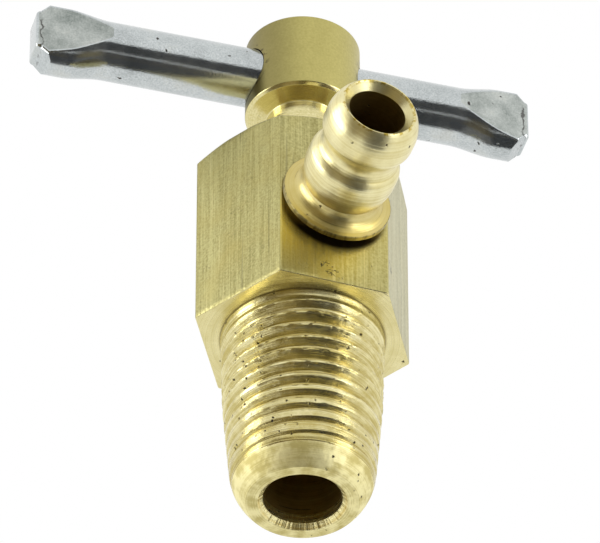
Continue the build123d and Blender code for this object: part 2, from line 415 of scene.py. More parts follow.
def thread_tree():
    """Geometry tree of a threaded band: a grid wound into helical rows and cut by the profile."""
    tree = bpy.data.node_groups.new("screw_thread", "GeometryNodeTree")
    for name, value in PLAIN_THREAD.items():
        socket = tree.interface.new_socket(name, in_out="INPUT", socket_type="NodeSocketFloat")
        socket.default_value = value
    for name in ("Columns", "Rows"):
        tree.interface.new_socket(name, in_out="INPUT", socket_type="NodeSocketInt")
    tree.interface.new_socket("Finish", in_out="INPUT", socket_type="NodeSocketMaterial")
    tree.interface.new_socket("Geometry", in_out="OUTPUT", socket_type="NodeSocketGeometry")
    n = Nodes(tree)
    size = n.put("NodeGroupInput").outputs
    grid = n.put(
        "GeometryNodeMeshGrid",
        {"Size X": 1.0, "Size Y": 1.0, "Vertices X": size["Columns"], "Vertices Y": size["Rows"]},
    )
    across, upward, _ = split_place(n, n.put("GeometryNodeInputPosition").outputs[0])
    around = n.plus(across, 0.5)
    along = n.times(n.plus(upward, 0.5), size["Turns"])

    # Height climbs by one pitch in each turn, and stops at both ends of the band
    turns_up = n.minus(n.plus(along, around), size["Start"])
    climb = n.math("MULTIPLY_ADD", turns_up, size["Pitch"], size["Low"])
    climb = n.minus(climb, size["Pitch"])
    height = n.math("MINIMUM", n.most(climb, size["Low"]), size["High"])

    # Outside of the blank: main cone, lead cone and round nose
    main = n.times(n.minus(height, size["Top Height"]), size["Fall"])
    main = n.plus(main, size["Top Radius"])
    below_lead = n.math("MINIMUM", n.minus(height, size["Lead Top"]), 0.0)
    blank = n.math("MULTIPLY_ADD", below_lead, size["Lead Fall"], main)
    rise = n.minus(height, size["Nose Centre Height"])
    nose = n.minus(n.math("POWER", size["Nose Radius"], 2.0), n.math("POWER", rise, 2.0))
    nose = n.plus(n.math("SQRT", n.most(nose, 0.0)), size["Nose Centre Radius"])
    on_nose = n.math("LESS_THAN", height, size["Nose Top"])
    blank = n.put("ShaderNodeMix", {0: on_nose, 2: blank, 3: nose}, data_type="FLOAT").outputs[0]

    # Profile across one pitch: flat root, straight flanks and flat crest
    wave = n.times(n.math("PINGPONG", n.math("FRACT", along), 0.5), 2.0)
    ridge = n.ramp_value(wave, size["Root Flat"], n.minus(1.0, size["Crest Flat"]))
    fade = n.ramp_value(height, n.minus(size["High"], size["Run Out"]), size["High"], 1.0, 0.0)
    fade_in = n.ramp_value(height, size["Low"], n.plus(size["Low"], size["Run In"]), 0.0, 1.0)
    depth = n.times(size["Depth"], fade, fade_in)
    groove = n.times(n.minus(1.0, ridge), depth)
    turn = n.times(around, 2 * pi)
    wear_place = n.put(
        "ShaderNodeCombineXYZ",
        {0: n.math("COSINE", turn), 1: n.math("SINE", turn), 2: n.times(turns_up, 1.7)},
    )
    wear = n.put("ShaderNodeTexNoise", {"Vector": wear_place.outputs[0], "Scale": 9.0, "Detail": 4.0})
    nick = n.ramp_value(wear.outputs[0], 0.5, 0.8)
    nick = n.times(nick, ridge, size["Raggedness"])
    cut_radius = n.minus(n.minus(main, groove), n.times(nick, fade))
    radius = n.math("MINIMUM", blank, cut_radius)
    spot = n.put(
        "ShaderNodeCombineXYZ",
        {
            0: n.times(n.math("COSINE", turn), radius),
            1: n.times(n.math("SINE", turn), radius),
            2: height,
        },
    )
    wound = n.put("GeometryNodeSetPosition", {"Geometry": grid.outputs[0], "Position": spot.outputs[0]})
    welded = n.put("GeometryNodeMergeByDistance", {"Geometry": wound.outputs[0], "Distance": WELD})
    plain = n.put("GeometryNodeRealizeInstances", {0: welded.outputs[0]})
    finished = n.put("GeometryNodeSetMaterial", {0: plain.outputs[0], "Material": size["Finish"]})
    n.put("NodeGroupOutput", {0: finished.outputs[0]})
    return tree


def threaded_band(name, tree, columns, finish, **sizes):
    """Open band with a ring of plain points at each end, made by the thread tree."""
    obj = make_object(name, [], [])
    modifier = obj.modifiers.new("thread", "NODES")
    modifier.node_group = tree
    turns = ceil((sizes["High"] - sizes["Low"]) / sizes["Pitch"]) + 2
    values = {
        **PLAIN_THREAD, **sizes, "Turns": float(turns), "Columns": columns + 1,
        "Rows": turns * THREAD_ROWS + 1, "Finish": finish,
    }
    for socket in tree.interface.items_tree:
        if socket.in_out == "INPUT" and socket.name in values:
            modifier[socket.identifier] = values[socket.name]
    apply_modifiers(obj)
    return obj


def join(name, *objects):
    """One mesh from several, welded where their points meet."""
    work = bmesh.new()
    for obj in objects:
        work.from_mesh(obj.data)
        bpy.data.objects.remove(obj)
    mesh = bpy.data.meshes.new(name)
    work.to_mesh(mesh)
    work.free()
    whole = add_object(name, mesh)
    clean(whole)
    return whole


# Valve body

def hexagon_ring(inset, height):
    """One ring round the hexagon, moved in by inset; height is a number or a function of the radius."""
    apothem = HEX_FLAT - inset
    corner_round = max(HEX_CORNER_ROUND - inset, LEAST_CORNER_ROUND)
    corner_centre = (apothem - corner_round) / cos(pi / 6)
    points = []
    for side in range(6):
        corner = side * pi / 3
        normal = corner + pi / 6
        ends = []
        for centre_angle in (corner, corner + pi / 3):
            centre = polar(corner_centre, centre_angle)
            ends.append((centre, centre + polar(corner_round, normal)))
        for column in range(SIDE_COLUMNS):
            if column < CORNER_COLUMNS:
                angle = corner + pi / 6 * column / CORNER_COLUMNS
                spot = ends[0][0] + polar(corner_round, angle)
            elif column > SIDE_COLUMNS - CORNER_COLUMNS:
                angle = corner + pi / 3 - pi / 6 * (SIDE_COLUMNS - column) / CORNER_COLUMNS
                spot = ends[1][0] + polar(corner_round, angle)
            else:
                share = (column - CORNER_COLUMNS) / (SIDE_COLUMNS - 2 * CORNER_COLUMNS)
                spot = ends[0][1].lerp(ends[1][1], share)
            level = height(spot.length) if callable(height) else height
            points.append((spot.x, spot.y, level))
    return np.array(points)


def hexagon_top(radius):
    """Height of the hexagon's top at a distance from the axis, with the corners turned off."""
    return HEX_TOP - max(0, radius - HEX_TOP_CIRCLE) * tan(HEX_CHAMFER)


def spigot_radius(height):
    return SPIGOT_TOP_RADIUS - (SHOULDER - height) * SPIGOT_FALL


def nose_arc():
    """Radius and centre of the rounded nose, tangent to the lead cone at its lower end."""
    lead_fall = (spigot_radius(LEAD_TOP) - LEAD_END_RADIUS) / (LEAD_TOP - NOSE_TOP)
    normal = Vector((-1, lead_fall)).normalized()
    chord = Vector((NOSE_FACE_RADIUS - LEAD_END_RADIUS, -NOSE_TOP))
    radius = chord.length_squared / (2 * normal.dot(chord))
    return radius, Vector((LEAD_END_RADIUS, NOSE_TOP)) + normal * radius, lead_fall


def plain_body():
    """All of the body but the thread: from the thread's low end in, up the bore and down the hexagon."""
    columns = BODY_COLUMNS
    radius, centre, _ = nose_arc()
    low_radius = centre.x + sqrt(radius**2 - (THREAD_LOW - centre.y) ** 2)
    slope = Vector((-(THREAD_LOW - centre.y), low_radius - centre.x)).normalized()
    face_edge = (NOSE_FACE_RADIUS, 0)
    inside = [(low_radius, THREAD_LOW)]
    inside += tangent_arc((low_radius, THREAD_LOW), -slope, face_edge, 5)
    inside += rounded(
        [
            (*face_edge, 0),
            (INLET_RADIUS + INLET_EDGE, 0, INLET_ROUND),
            (INLET_RADIUS, INLET_EDGE, INLET_ROUND),
            (INLET_RADIUS, INLET_LIP, 0),
            (INLET_RADIUS, INLET_END, 0),
            (THROAT_RADIUS, INLET_END, 0),
            (THROAT_RADIUS, SEAT, EDGE_BREAK),
            (CHAMBER_RADIUS, SEAT_TOP, EDGE_BREAK),
            (CHAMBER_RADIUS, HEX_TOP - SCREW_EDGE, EDGE_BREAK),
            (CHAMBER_RADIUS + SCREW_EDGE, HEX_TOP, EDGE_BREAK),
            (TOP_FACE_RADIUS, HEX_TOP, 0),
        ],
        3,
    )[1:]
    rings = [circle(point[0], point[1], columns) for point in inside]
    chamfer_start = hexagon_ring(HEX_RIM_ROUND, HEX_TOP)
    reach = np.linalg.norm(chamfer_start[:, :2], axis=1)
    shrink = np.minimum(1, TOP_CHAMFER_RADIUS / reach)
    chamfer_start[:, :2] *= shrink[:, None]
    rings.append(chamfer_start)
    for step in range(4):
        angle = pi / 2 * step / 3
        inset = HEX_RIM_ROUND * (1 - sin(angle))
        drop = HEX_RIM_ROUND * (1 - cos(angle))
        rings.append(hexagon_ring(inset, lambda reach: hexagon_top(reach) - drop))
    for share in (0.02, 0.2, 0.4, 0.6, 0.8, 0.98):
        height = HEX_TOP - HEX_RIM_ROUND - share * (HEX_TOP - SHOULDER - 2 * HEX_RIM_ROUND)
        rings.append(hexagon_ring(0, lambda reach: min(height, hexagon_top(reach) - 1.5 * HEX_RIM_ROUND)))
    for step in range(4):
        angle = pi / 2 * step / 3
        inset = HEX_RIM_ROUND * (1 - cos(angle))
        rings.append(hexagon_ring(inset, SHOULDER + HEX_RIM_ROUND * (1 - sin(angle))))
    rings.append(circle(SPIGOT_TOP_RADIUS, SHOULDER, columns))
    rings.append(circle(spigot_radius(THREAD_HIGH), THREAD_HIGH, columns))
    return make_object("plain_body", *band(rings))


def nipple_place():
    """Turns a piece made about Z onto the nipple's own axis."""
    return Matrix.Translation(NIPPLE_START) @ Matrix.Rotation(pi / 2 - NIPPLE_LEAN, 4, "X")


def make_valve_body(tree, brass):
    radius, centre, lead_fall = nose_arc()
    thread = threaded_band(
        "pipe_thread", tree, BODY_COLUMNS, brass["thread"],
        **{
            "Pitch": THREAD_PITCH, "Depth": THREAD_DEPTH, "Low": THREAD_LOW, "High": THREAD_HIGH,
            "Start": THREAD_START, "Crest Flat": CREST_FLAT, "Root Flat": ROOT_FLAT,
            "Top Radius": SPIGOT_TOP_RADIUS, "Top Height": SHOULDER, "Fall": SPIGOT_FALL,
            "Lead Top": LEAD_TOP, "Lead Fall": lead_fall - SPIGOT_FALL, "Nose Top": NOSE_TOP,
            "Nose Radius": radius, "Nose Centre Radius": centre.x, "Nose Centre Height": centre.y,
            "Run Out": THREAD_RUN_OUT, "Run In": THREAD_RUN_IN, "Raggedness": CREST_WEAR,
        },
    )
    body = join("valve_body_brass", plain_body(), thread)
    tail_depth = TAIL_LENGTH - FLANGE_STAND
    hole = turned(
        "port",
        [
            (0, -HEX_FLAT), (PORT_RADIUS, -HEX_FLAT), (PORT_RADIUS, -tail_depth),
            (TAIL_RADIUS + TAIL_FIT, -tail_depth), (TAIL_RADIUS + TAIL_FIT, OVERCUT), (0, OVERCUT),
        ],
        HOLE_COLUMNS,
    )
    hole.data.transform(nipple_place())
    cut(body, hole)
    # The lip finish is a brighter brass that paints light on the countersink and the bore's mouth
    for kind in ("turned", "thread", "nose", "lip", "drawn", "bore"):
        if brass[kind].name not in body.data.materials:
            body.data.materials.append(brass[kind])
    names = [slot.name for slot in body.data.materials]
    # Chamber and bore faces take a darker brass that paints the shade inside them
    for face in body.data.polygons:
        spot = face.center
        reach = sqrt(spot.x**2 + spot.y**2)
        level = abs(face.normal.z)
        in_chamber = reach < HEX_FLAT - FLAT_SLACK and SHOULDER < spot.z < HEX_TOP - FACE_SLACK
        if in_chamber or (reach < INLET_RADIUS + BORE_SLACK and spot.z > INLET_LIP):
            kind = "bore"
        elif reach < INLET_RADIUS + INLET_EDGE and spot.z < SHOULDER:
            kind = "lip"
        elif level < UPRIGHT and spot.z > SHOULDER and reach > HEX_FLAT - FLAT_SLACK:
            kind = "drawn"
        elif spot.z > SHOULDER - FACE_SLACK:
            kind = "turned"
        else:
            kind = "thread" if spot.z > NOSE_FINISH_TOP else "nose"
        face.material_index = names.index(brass[kind].name)
    shade(body)
    return body


# Hose nipple

def bulb_side(land, waist, tangent):
    """Side of a bulb: it leaves its land as a round and runs into the waist as a hollow."""
    middle = (Vector(land) + Vector(waist)) / 2
    back = (-tangent[0], -tangent[1])
    hollow = [Vector(waist)] + tangent_arc(waist, back, middle, 8)
    return tangent_arc(land, tangent, middle, 8) + hollow[::-1][1:]


def make_hose_nipple(brass):
    root = (ROOT_RADIUS, FLANGE_THICKNESS + ROOT_FILLET)
    flange_face = (ROOT_RADIUS + ROOT_FILLET, FLANGE_THICKNESS)
    waist = (WAIST_RADIUS, INNER_BULB + BULB_PITCH / 2)
    mouth = Vector((MOUTH_RADIUS, NIPPLE_LENGTH))
    mouth_end = Vector((NIPPLE_BORE_RADIUS, NIPPLE_LENGTH - MOUTH_DEPTH))
    lands = [
        ((BULB_RADIUS, bulb - BULB_LAND / 2), (BULB_RADIUS, bulb + BULB_LAND / 2))
        for bulb in (INNER_BULB, INNER_BULB + BULB_PITCH)
    ]
    down, up = (0, -1), (0, 1)
    outline = [Vector(root)] + tangent_arc(root, down, flange_face, 8)
    outline = outline[::-1]
    outline += tangent_arc(lands[0][0], down, root, 12)[::-1][1:] + [Vector(end) for end in lands[0]]
    outline += bulb_side(lands[0][1], waist, up)
    outline += bulb_side(lands[1][0], waist, down)[::-1][1:] + [Vector(end) for end in lands[1]]
    outline += tangent_arc(lands[1][1], up, mouth, 40)[:-1]
    outline += rounded(
        [
            (*mouth.lerp(mouth_end, 0.08), 0),
            (*mouth_end, SOFT_EDGE),
            (NIPPLE_BORE_RADIUS, -TAIL_LENGTH, 0),
            (TAIL_RADIUS, -TAIL_LENGTH, SOFT_EDGE),
            (TAIL_RADIUS, 0, 0),
            (FLANGE_RADIUS, 0, FLANGE_BACK_ROUND),
            (FLANGE_RADIUS, FLANGE_THICKNESS, EDGE_BREAK),
            (*flange_face, 0),
        ],
        4,
    )[:-1]
    nipple = turned("hose_nipple_brass", outline, closed=True)
    nipple.data.transform(Matrix.Translation((0, 0, FLANGE_STAND)))
    # The nipple's bore takes a darker brass that paints the shade inside it
    for finish in (brass["nipple"], brass["nipple_bore"]):
        nipple.data.materials.append(finish)
    for face in nipple.data.polygons:
        reach = sqrt(face.center.x**2 + face.center.y**2)
        face.material_index = int(reach < NIPPLE_BORE_RADIUS + BORE_SLACK)
    nipple.data.transform(nipple_place())
    shade(nipple)
    return nipple


# Stem and ring

def make_stem(tree, brass):
    groove_bottom = SEAT - RING_CLEARANCE
    groove_top = RING_TOP + RING_CLEARANCE
    collar_top = groove_top + COLLAR_THICKNESS
    tip_shoulder = groove_bottom - TIP_COLLAR
    below = rounded(
        [
            (0, tip_shoulder - TIP_LENGTH, 0),
            (TIP_FACE_RADIUS, tip_shoulder - TIP_LENGTH, SOFT_EDGE),
            (TIP_RADIUS, tip_shoulder, SOFT_EDGE),
            (TIP_RADIUS, groove_bottom, EDGE_BREAK),
            (GROOVE_RADIUS, groove_bottom, EDGE_BREAK),
            (GROOVE_RADIUS, groove_top, EDGE_BREAK),
            (COLLAR_RADIUS, groove_top, EDGE_BREAK),
            (COLLAR_RADIUS, collar_top, EDGE_BREAK),
            (SHANK_RADIUS, collar_top, EDGE_BREAK),
            (SHANK_RADIUS, SCREW_BOTTOM, EDGE_BREAK),
            (SCREW_RADIUS - SCREW_DEPTH, SCREW_BOTTOM, 0),
        ],
        3,
    )
    above = rounded(
        [
            (SCREW_RADIUS - SCREW_DEPTH, SCREW_TOP, 0),
            (NECK_RADIUS, SCREW_TOP, 0),
            (NECK_RADIUS, HEAD_BOTTOM - HEAD_UNDERSIDE_DROP, NECK_FILLET),
            (HEAD_RADIUS - HEAD_EDGE, HEAD_BOTTOM, SOFT_EDGE),
            (HEAD_RADIUS, HEAD_BOTTOM + HEAD_EDGE, HEAD_ROUND),
            (HEAD_RADIUS, HEAD_TOP - HEAD_EDGE, HEAD_ROUND),
            (HEAD_RADIUS - HEAD_EDGE, HEAD_TOP, HEAD_ROUND),
            (0, HEAD_TOP, 0),
        ],
        5,
    )
    screw = threaded_band(
        "stem_screw", tree, TURNED_COLUMNS, brass["neck"],
        **{
            "Pitch": SCREW_PITCH, "Depth": SCREW_DEPTH, "Low": SCREW_BOTTOM, "High": SCREW_TOP,
            "Crest Flat": SCREW_CREST_FLAT, "Root Flat": SCREW_ROOT_FLAT, "Top Radius": SCREW_RADIUS,
            "Top Height": SCREW_TOP, "Run Out": SCREW_RUN_OUT, "Run In": SCREW_RUN_OUT,
        },
    )
    above.insert(0, Vector((SCREW_RADIUS, SCREW_TOP)))
    below.append(Vector((SCREW_RADIUS, SCREW_BOTTOM)))
    ends = [
        make_object("stem_end", *band([circle(p[0], p[1], TURNED_COLUMNS) for p in outline]))
        for outline in (below, above)
    ]
    stem = join("stem_brass", ends[0], screw, ends[1])
    hole = turned(
        "cross_hole",
        [
            (0, -2 * HEAD_RADIUS), (BAR_HOLE_RADIUS, -2 * HEAD_RADIUS),
            (BAR_HOLE_RADIUS, 2 * HEAD_RADIUS), (0, 2 * HEAD_RADIUS),
        ],
        HOLE_COLUMNS,
    )
    hole.data.transform(bar_place() @ Matrix.Rotation(pi / 2, 4, "Y"))
    cut(stem, hole)
    stem.data.materials.clear()
    for finish in (brass["head"], brass["neck"]):
        stem.data.materials.append(finish)
    for face in stem.data.polygons:
        face.material_index = int(face.center.z < HEAD_BOTTOM + HEAD_EDGE)
    shade(stem)
    return stem


def make_seat_ring(rubber):
    ring = turned(
        "seat_ring_rubber",
        rounded(
            [
                (RING_INSIDE_RADIUS, SEAT, EDGE_BREAK),
                (RING_BOTTOM_RADIUS, SEAT, SOFT_EDGE),
                (RING_TOP_RADIUS, RING_TOP, SOFT_EDGE),
                (RING_INSIDE_RADIUS, RING_TOP, EDGE_BREAK),
            ],
            4,
            closed=True,
        ),
        closed=True,
    )
    ring.data.materials.append(rubber)
    shade(ring)
    return ring


# Cross bar

def bar_place():
    return Matrix.Translation((0, 0, BAR_HEIGHT)) @ Matrix.Rotation(BAR_TURN, 4, "Z")


def bar_section(x):
    """Half height of the bar's ellipse at one station, and how far its flats and bevels let it reach."""
    into = abs(x) - (BAR_HALF - SWAGE_LENGTH)
    if into <= 0:
        return BAR_RADIUS, BAR_RADIUS, BAR_RADIUS
    flare = min(1, into / SWAGE_FLARE)
    tall = BAR_RADIUS + (SWAGE_HALF_WIDTH - BAR_RADIUS) * flare * flare * (3 - 2 * flare)
    die = BAR_RADIUS - SWAGE_STEP
    thin = die + (SWAGE_HALF_THICKNESS - die) * into / SWAGE_LENGTH
    short = SWAGE_HALF_WIDTH - max(0, SWAGE_BEVEL - (BAR_HALF - abs(x)))
    return tall, thin, min(tall, short)


def bar_ring(x, swell):
    """Points round the bar, one for each direction: the cut ellipse, shrunk and then swollen."""
    tall, thin, short = (size - SWAGE_ROUND for size in bar_section(x))
    wide = BAR_RADIUS - SWAGE_ROUND
    turn = np.linspace(0, 2 * pi, OUTLINE_STEPS + 1)
    outline = np.stack([wide * np.cos(turn), tall * np.sin(turn)], axis=1)
    outline = np.clip(outline, [-thin, -short], [thin, short])
    facing = (np.arange(BAR_COLUMNS) + 0.5) * 2 * pi / BAR_COLUMNS
    facing = np.stack([np.cos(facing), np.sin(facing)], axis=1)
    spots = outline[np.argmax(facing @ outline.T, axis=1)] + swell * facing
    return np.column_stack([np.full(BAR_COLUMNS, x), spots])


def make_handle_bar(zinc):
    swage = BAR_HALF - SWAGE_LENGTH
    tip = BAR_HALF - SWAGE_ROUND
    stations = [*np.linspace(0, swage, 12)]
    stations += [swage + SWAGE_LENGTH * share**2 for share in np.linspace(0.03, 0.8, 36)]
    stations += [*np.linspace(swage + SWAGE_LENGTH * 0.66, tip, 16)]
    rings = [bar_ring(x, SWAGE_ROUND) for x in stations]
    for step in range(1, 7):
        angle = pi / 2 * step / 6
        ring = bar_ring(tip, SWAGE_ROUND * cos(angle))
        ring[:, 0] = tip + SWAGE_ROUND * sin(angle)
        rings.append(ring)
    rings = np.array(rings)
    other = rings[:0:-1] * [-1, 1, 1]
    vertices, faces = band(np.concatenate([other, rings]))
    faces.append(tuple(range(BAR_COLUMNS)))
    faces.append(tuple(range(len(vertices) - BAR_COLUMNS, len(vertices))))
    bar = make_object("handle_bar_zinc", vertices, faces)
    clean(bar)
    for finish in zinc:
        bar.data.materials.append(finish)
    for face in bar.data.polygons:
        pressed = abs(face.normal.y) > 0.9 and abs(face.normal.z) < 0.02 and abs(face.center.x) > swage
        face.material_index = int(pressed)
    bar.data.transform(bar_place() @ Matrix.Translation((BAR_OFFSET, 0, 0)))
    shade(bar)
    return bar


# Finishes: scales are for each metre, and depths of bumps are in millimetres

def new_material(name):
    material = bpy.data.materials.new(name)
    material.use_nodes = True
    return material, Nodes(material.node_tree)


def new_finish(name):
    """New material, its nodes and the place on the object that its patterns follow."""
    material, n = new_material(name)
    return material, n, n.put("ShaderNodeTexCoord").outputs["Object"]


def blend(n, share, first, second):
    return n.put("ShaderNodeMix", {0: share, 6: first, 7: second}, data_type="RGBA").outputs[2]


def noise(n, vector, scale, detail=3.0, roughness=0.55):
    inputs = {"Vector": vector, "Scale": scale, "Detail": detail, "Roughness": roughness}
    return n.put("ShaderNodeTexNoise", inputs).outputs[0]


def mapped(n, vector, stretch=(1, 1, 1), location=(0, 0, 0), rotation=(0, 0, 0)):
    inputs = {"Vector": vector, "Location": location, "Rotation": rotation, "Scale": stretch}
    return n.put("ShaderNodeMapping", inputs).outputs[0]


def specks(n, vector, scale, size, share):
    """Sparse ragged spots: about this share of a cell pattern's cells hold a spot of this size."""
    inputs = {"Vector": vector, "Scale": scale * 2.5, "Detail": 2.0}
    ragged = n.put("ShaderNodeTexNoise", inputs).outputs["Color"]
    shift = n.put("ShaderNodeVectorMath", {0: ragged, 3: 0.7 / scale}, operation="SCALE").outputs[0]
    place = n.put("ShaderNodeVectorMath", {0: vector, 1: shift}, operation="ADD").outputs[0]
    cells = n.put("ShaderNodeTexVoronoi", {"Vector": place, "Scale": scale})
    spot = n.ramp_value(cells.outputs["Distance"], size, size * 0.6)
    pick = n.put("ShaderNodeSeparateColor", {0: cells.outputs["Color"]}).outputs[0]
    return n.times(spot, n.math("LESS_THAN", pick, share))


def worm_marks(n, vector, scale, width, patch_scale, patch_level):
    """Short winding cracks, in patches only."""
    line = n.apart(noise(n, vector, scale, 1.0), 0.5)
    line = n.ramp_value(line, width, width * 0.4)
    patch = n.ramp_value(noise(n, vector, patch_scale, 1.0), patch_level, patch_level + 0.03)
    return n.times(line, patch)


def distance_off(n, first, second):
    """Distance from an axis, from the two places across it."""
    plan = n.put("ShaderNodeCombineXYZ", {0: first, 1: second}).outputs[0]
    return n.put("ShaderNodeVectorMath", {0: plan}, operation="LENGTH").outputs["Value"]


def finish_surface(n, colour, roughness, height, depth, metallic):
    bump = n.put("ShaderNodeBump", {"Height": height, "Distance": depth * MM, "Strength": 1.0}).outputs[0]
    inputs = {"Base Color": colour, "Roughness": roughness, "Normal": bump, "Metallic": metallic}
    shader = n.put("ShaderNodeBsdfPrincipled", inputs)
    n.put("ShaderNodeOutputMaterial", {"Surface": shader.outputs[0]})


def drawn_brass():
    """Hexagon bar as drawn: grain, scratches, cracks, pits, painted side shade and light, a painted gold
    reflection and a painted shadow under the flange.
    """
    material, n, place = new_finish("drawn_brass")
    grain = noise(n, mapped(n, place, (6500, 6500, 160)), 1.0, 4.0, 0.6)
    streaks = noise(n, mapped(n, place, (1600, 1600, 25)), 1.0, 3.0)
    mottle = noise(n, place, 5200.0, 2.0)
    cloud = noise(n, place, 260.0, 3.0)
    tone = n.plus(n.times(grain, 0.43), n.times(streaks, 0.22), n.times(mottle, 0.35))
    tone = n.ramp_value(tone, 0.40, 0.60)
    colour = blend(n, tone, (0.28, 0.25, 0.09), (0.50, 0.46, 0.20))
    clouded = n.ramp_value(cloud, 0.45, 0.75, 0.0, 0.5)
    colour = blend(n, clouded, colour, (0.40, 0.33, 0.10))

    # Scratches lie nearly along the bar; pits and cracks are fewer away from the front flat
    across, behind, above = split_place(n, mapped(n, place, location=-NIPPLE_START))
    scratches = noise(n, mapped(n, place, (2600, 2600, 60), rotation=(0.06, 0.04, 0)), 1.0, 1.0)
    bright = n.ramp_value(scratches, 0.34, 0.28, 0.0, 0.4)
    colour = blend(n, bright, colour, (0.78, 0.70, 0.34))
    pits = specks(n, place, scale=1500.0, size=0.26, share=0.02)
    cracks = worm_marks(n, place, scale=2200.0, width=0.04, patch_scale=480.0, patch_level=0.65)
    off_middle = n.apart(across, PITTED_MIDDLE)
    dark = n.times(n.most(pits, cracks), n.ramp_value(off_middle, *PITTED_REACH, 1.0, 0.2))
    dark = n.most(dark, n.times(n.ramp_value(scratches, 0.68, 0.73), 0.35))

    # Painted shade darkens the left flat and painted light pales the right flat; a painted gold
    # reflection of the nipple lies on the front flat round its root
    side_light = n.ramp_value(across, *SHADED_SIDE, 0.9, 1.14)
    colour = n.put("ShaderNodeVectorMath", {0: colour, 3: side_light}, operation="SCALE").outputs[0]
    pale = n.ramp_value(across, *LIT_SIDE, 0.0, 0.3)
    colour = blend(n, pale, colour, (0.60, 0.60, 0.46))
    off_nipple = distance_off(n, across, above)
    on_front = n.math("LESS_THAN", behind, FRONT_FLAT_DEPTH)
    # Painted gold reflection of the nipple, strongest below and left of its root
    gold_reflection = n.times(
        n.ramp_value(off_nipple, *REFLECTION_REACH, 0.85, 0.0),
        on_front,
        n.ramp_value(above, *REFLECTION_DROP),
        n.ramp_value(across, *REFLECTION_SIDE, 1.0, 0.3),
        n.ramp_value(tone, 0.0, 1.0, 1.0, 0.6),
    )
    colour = blend(n, gold_reflection, colour, (0.84, 0.63, 0.09))
    colour = blend(n, dark, colour, (0.05, 0.04, 0.02))

    # Painted shadow in the gap under the flange's lower side
    gap_shadow = n.ramp_value(off_nipple, *GAP_SHADOW_REACH, 1.0, 0.0, smooth=True)
    gap_shadow = n.times(gap_shadow, on_front, n.ramp_value(above, *GAP_SHADOW_DROP))
    colour = blend(n, gap_shadow, colour, (0.05, 0.036, 0.012))
    roughness = n.ramp_value(tone, 0.0, 1.0, 0.44, 0.30)
    height = n.minus(tone, n.times(dark, 3.0))
    finish_surface(n, colour, roughness, height, 0.006, 0.96)
    return material


def turned_brass(
    name, dark, light, rough, lines=9000.0, depth=0.006, pits=0.02, line_share=0.6, stains_and_shade=(),
    patches=0.35, stroke=0.5, dents=0.0, dent_scale=1300.0, chatter=False, spread=0.18, metallic=0.95,
    **axis,
):
    """Turned brass: fine lines round the axis, tool marks of a coarser feed, short strokes and specks."""
    material, n, place = new_finish(name)
    split = split_place(n, mapped(n, place, **axis))
    reach = distance_off(n, split[0], split[1])
    flat = n.put("ShaderNodeCombineXYZ", {0: reach, 2: split[2]}).outputs[0]
    wobble = noise(n, place, 700.0, 3.0)
    fine = noise(n, flat, lines, 3.0, 0.65)
    coarse = noise(n, flat, lines / 5, 2.0)
    mottle = noise(n, place, 5000.0, 2.0)
    tone = n.plus(
        n.times(fine, line_share),
        n.times(coarse, line_share * 0.5),
        n.times(mottle, 1 - 1.5 * line_share),
        n.times(n.minus(wobble, 0.5), patches),
    )
    tone = n.ramp_value(tone, 0.5 - spread, 0.5 + spread)
    colour = blend(n, tone, dark, light)
    # Stains and painted shade, each cover blended in with its tint
    for cover, tint in stains_and_shade:
        colour = blend(n, cover(n, reach, split[2], place), colour, tint)
    strokes = n.ramp_value(noise(n, flat, lines * 0.6, 1.0), 0.66, 0.72)
    strokes = n.times(strokes, n.ramp_value(noise(n, place, 380.0, 2.0), 0.54, 0.62))
    clusters = n.ramp_value(noise(n, place, 300.0, 2.0), 0.5, 0.56)
    marks = n.times(specks(n, place, scale=2300.0, size=0.30, share=pits * 2), clusters)
    marks = n.most(marks, specks(n, place, scale=1500.0, size=0.24, share=pits * 0.5))
    soiled = n.most(marks, n.times(strokes, stroke))
    colour = blend(n, soiled, colour, (0.05, 0.035, 0.015))
    roughness = n.ramp_value(tone, 0.0, 1.0, rough + 0.08, rough)
    height = n.minus(tone, n.times(marks, 4.0))
    if chatter:
        across = n.put("ShaderNodeCombineXYZ", {0: split[0], 1: split[1]}).outputs[0]
        place = n.put("ShaderNodeVectorMath", {0: across}, operation="NORMALIZE").outputs[0]
    height = n.math("MULTIPLY_ADD", noise(n, place, dent_scale, 2.0), dents / depth, height)
    finish_surface(n, colour, roughness, height, depth, metallic)
    return material


def groove_shade(n, reach, height, place):
    """Painted shade deep in the pipe thread's groove: how deep a place lies in it, from its crest to its
    root.
    """
    crest = n.math("MULTIPLY_ADD", n.minus(height, SHOULDER), SPIGOT_FALL, SPIGOT_TOP_RADIUS)
    groove = n.ramp_value(n.minus(crest, reach), *GROOVE_SHADE, 0.0, 0.4)
    return n.times(groove, n.math("GREATER_THAN", height, NOSE_FINISH_TOP))


def shoulder_shade(n, reach, height, place):
    """Painted shade: a dark line in the corner where the shoulder meets the pipe thread."""
    line = n.ramp_value(reach, *SHOULDER_SHADE_REACH, 0.55, 0.0)
    return n.times(line, n.math("LESS_THAN", height, SHOULDER_SHADE_TOP))


def root_and_mouth_marks(n, reach, height, place):
    """Darker and browner towards the nipple's root, and ragged dirt on the edge of its mouth."""
    root = n.ramp_value(height, *ROOT_DARKENING, 0.75, 0.0)
    edge = n.ramp_value(height, *MOUTH_DIRT)
    ragged = n.ramp_value(noise(n, place, 2600.0, 3.0), 0.5, 0.58)
    return n.most(root, n.times(edge, ragged))


def flange_burrs(n, reach, height, place):
    """Dull wall of the nipple's flange, with dark nicks across it."""
    wall = n.ramp_value(reach, *FLANGE_WALL)
    nicks = n.ramp_value(noise(n, mapped(n, place, (2600, 600, 2600)), 1.0, 3.0), 0.46, 0.62, 0.5, 1.0)
    return n.times(wall, nicks)


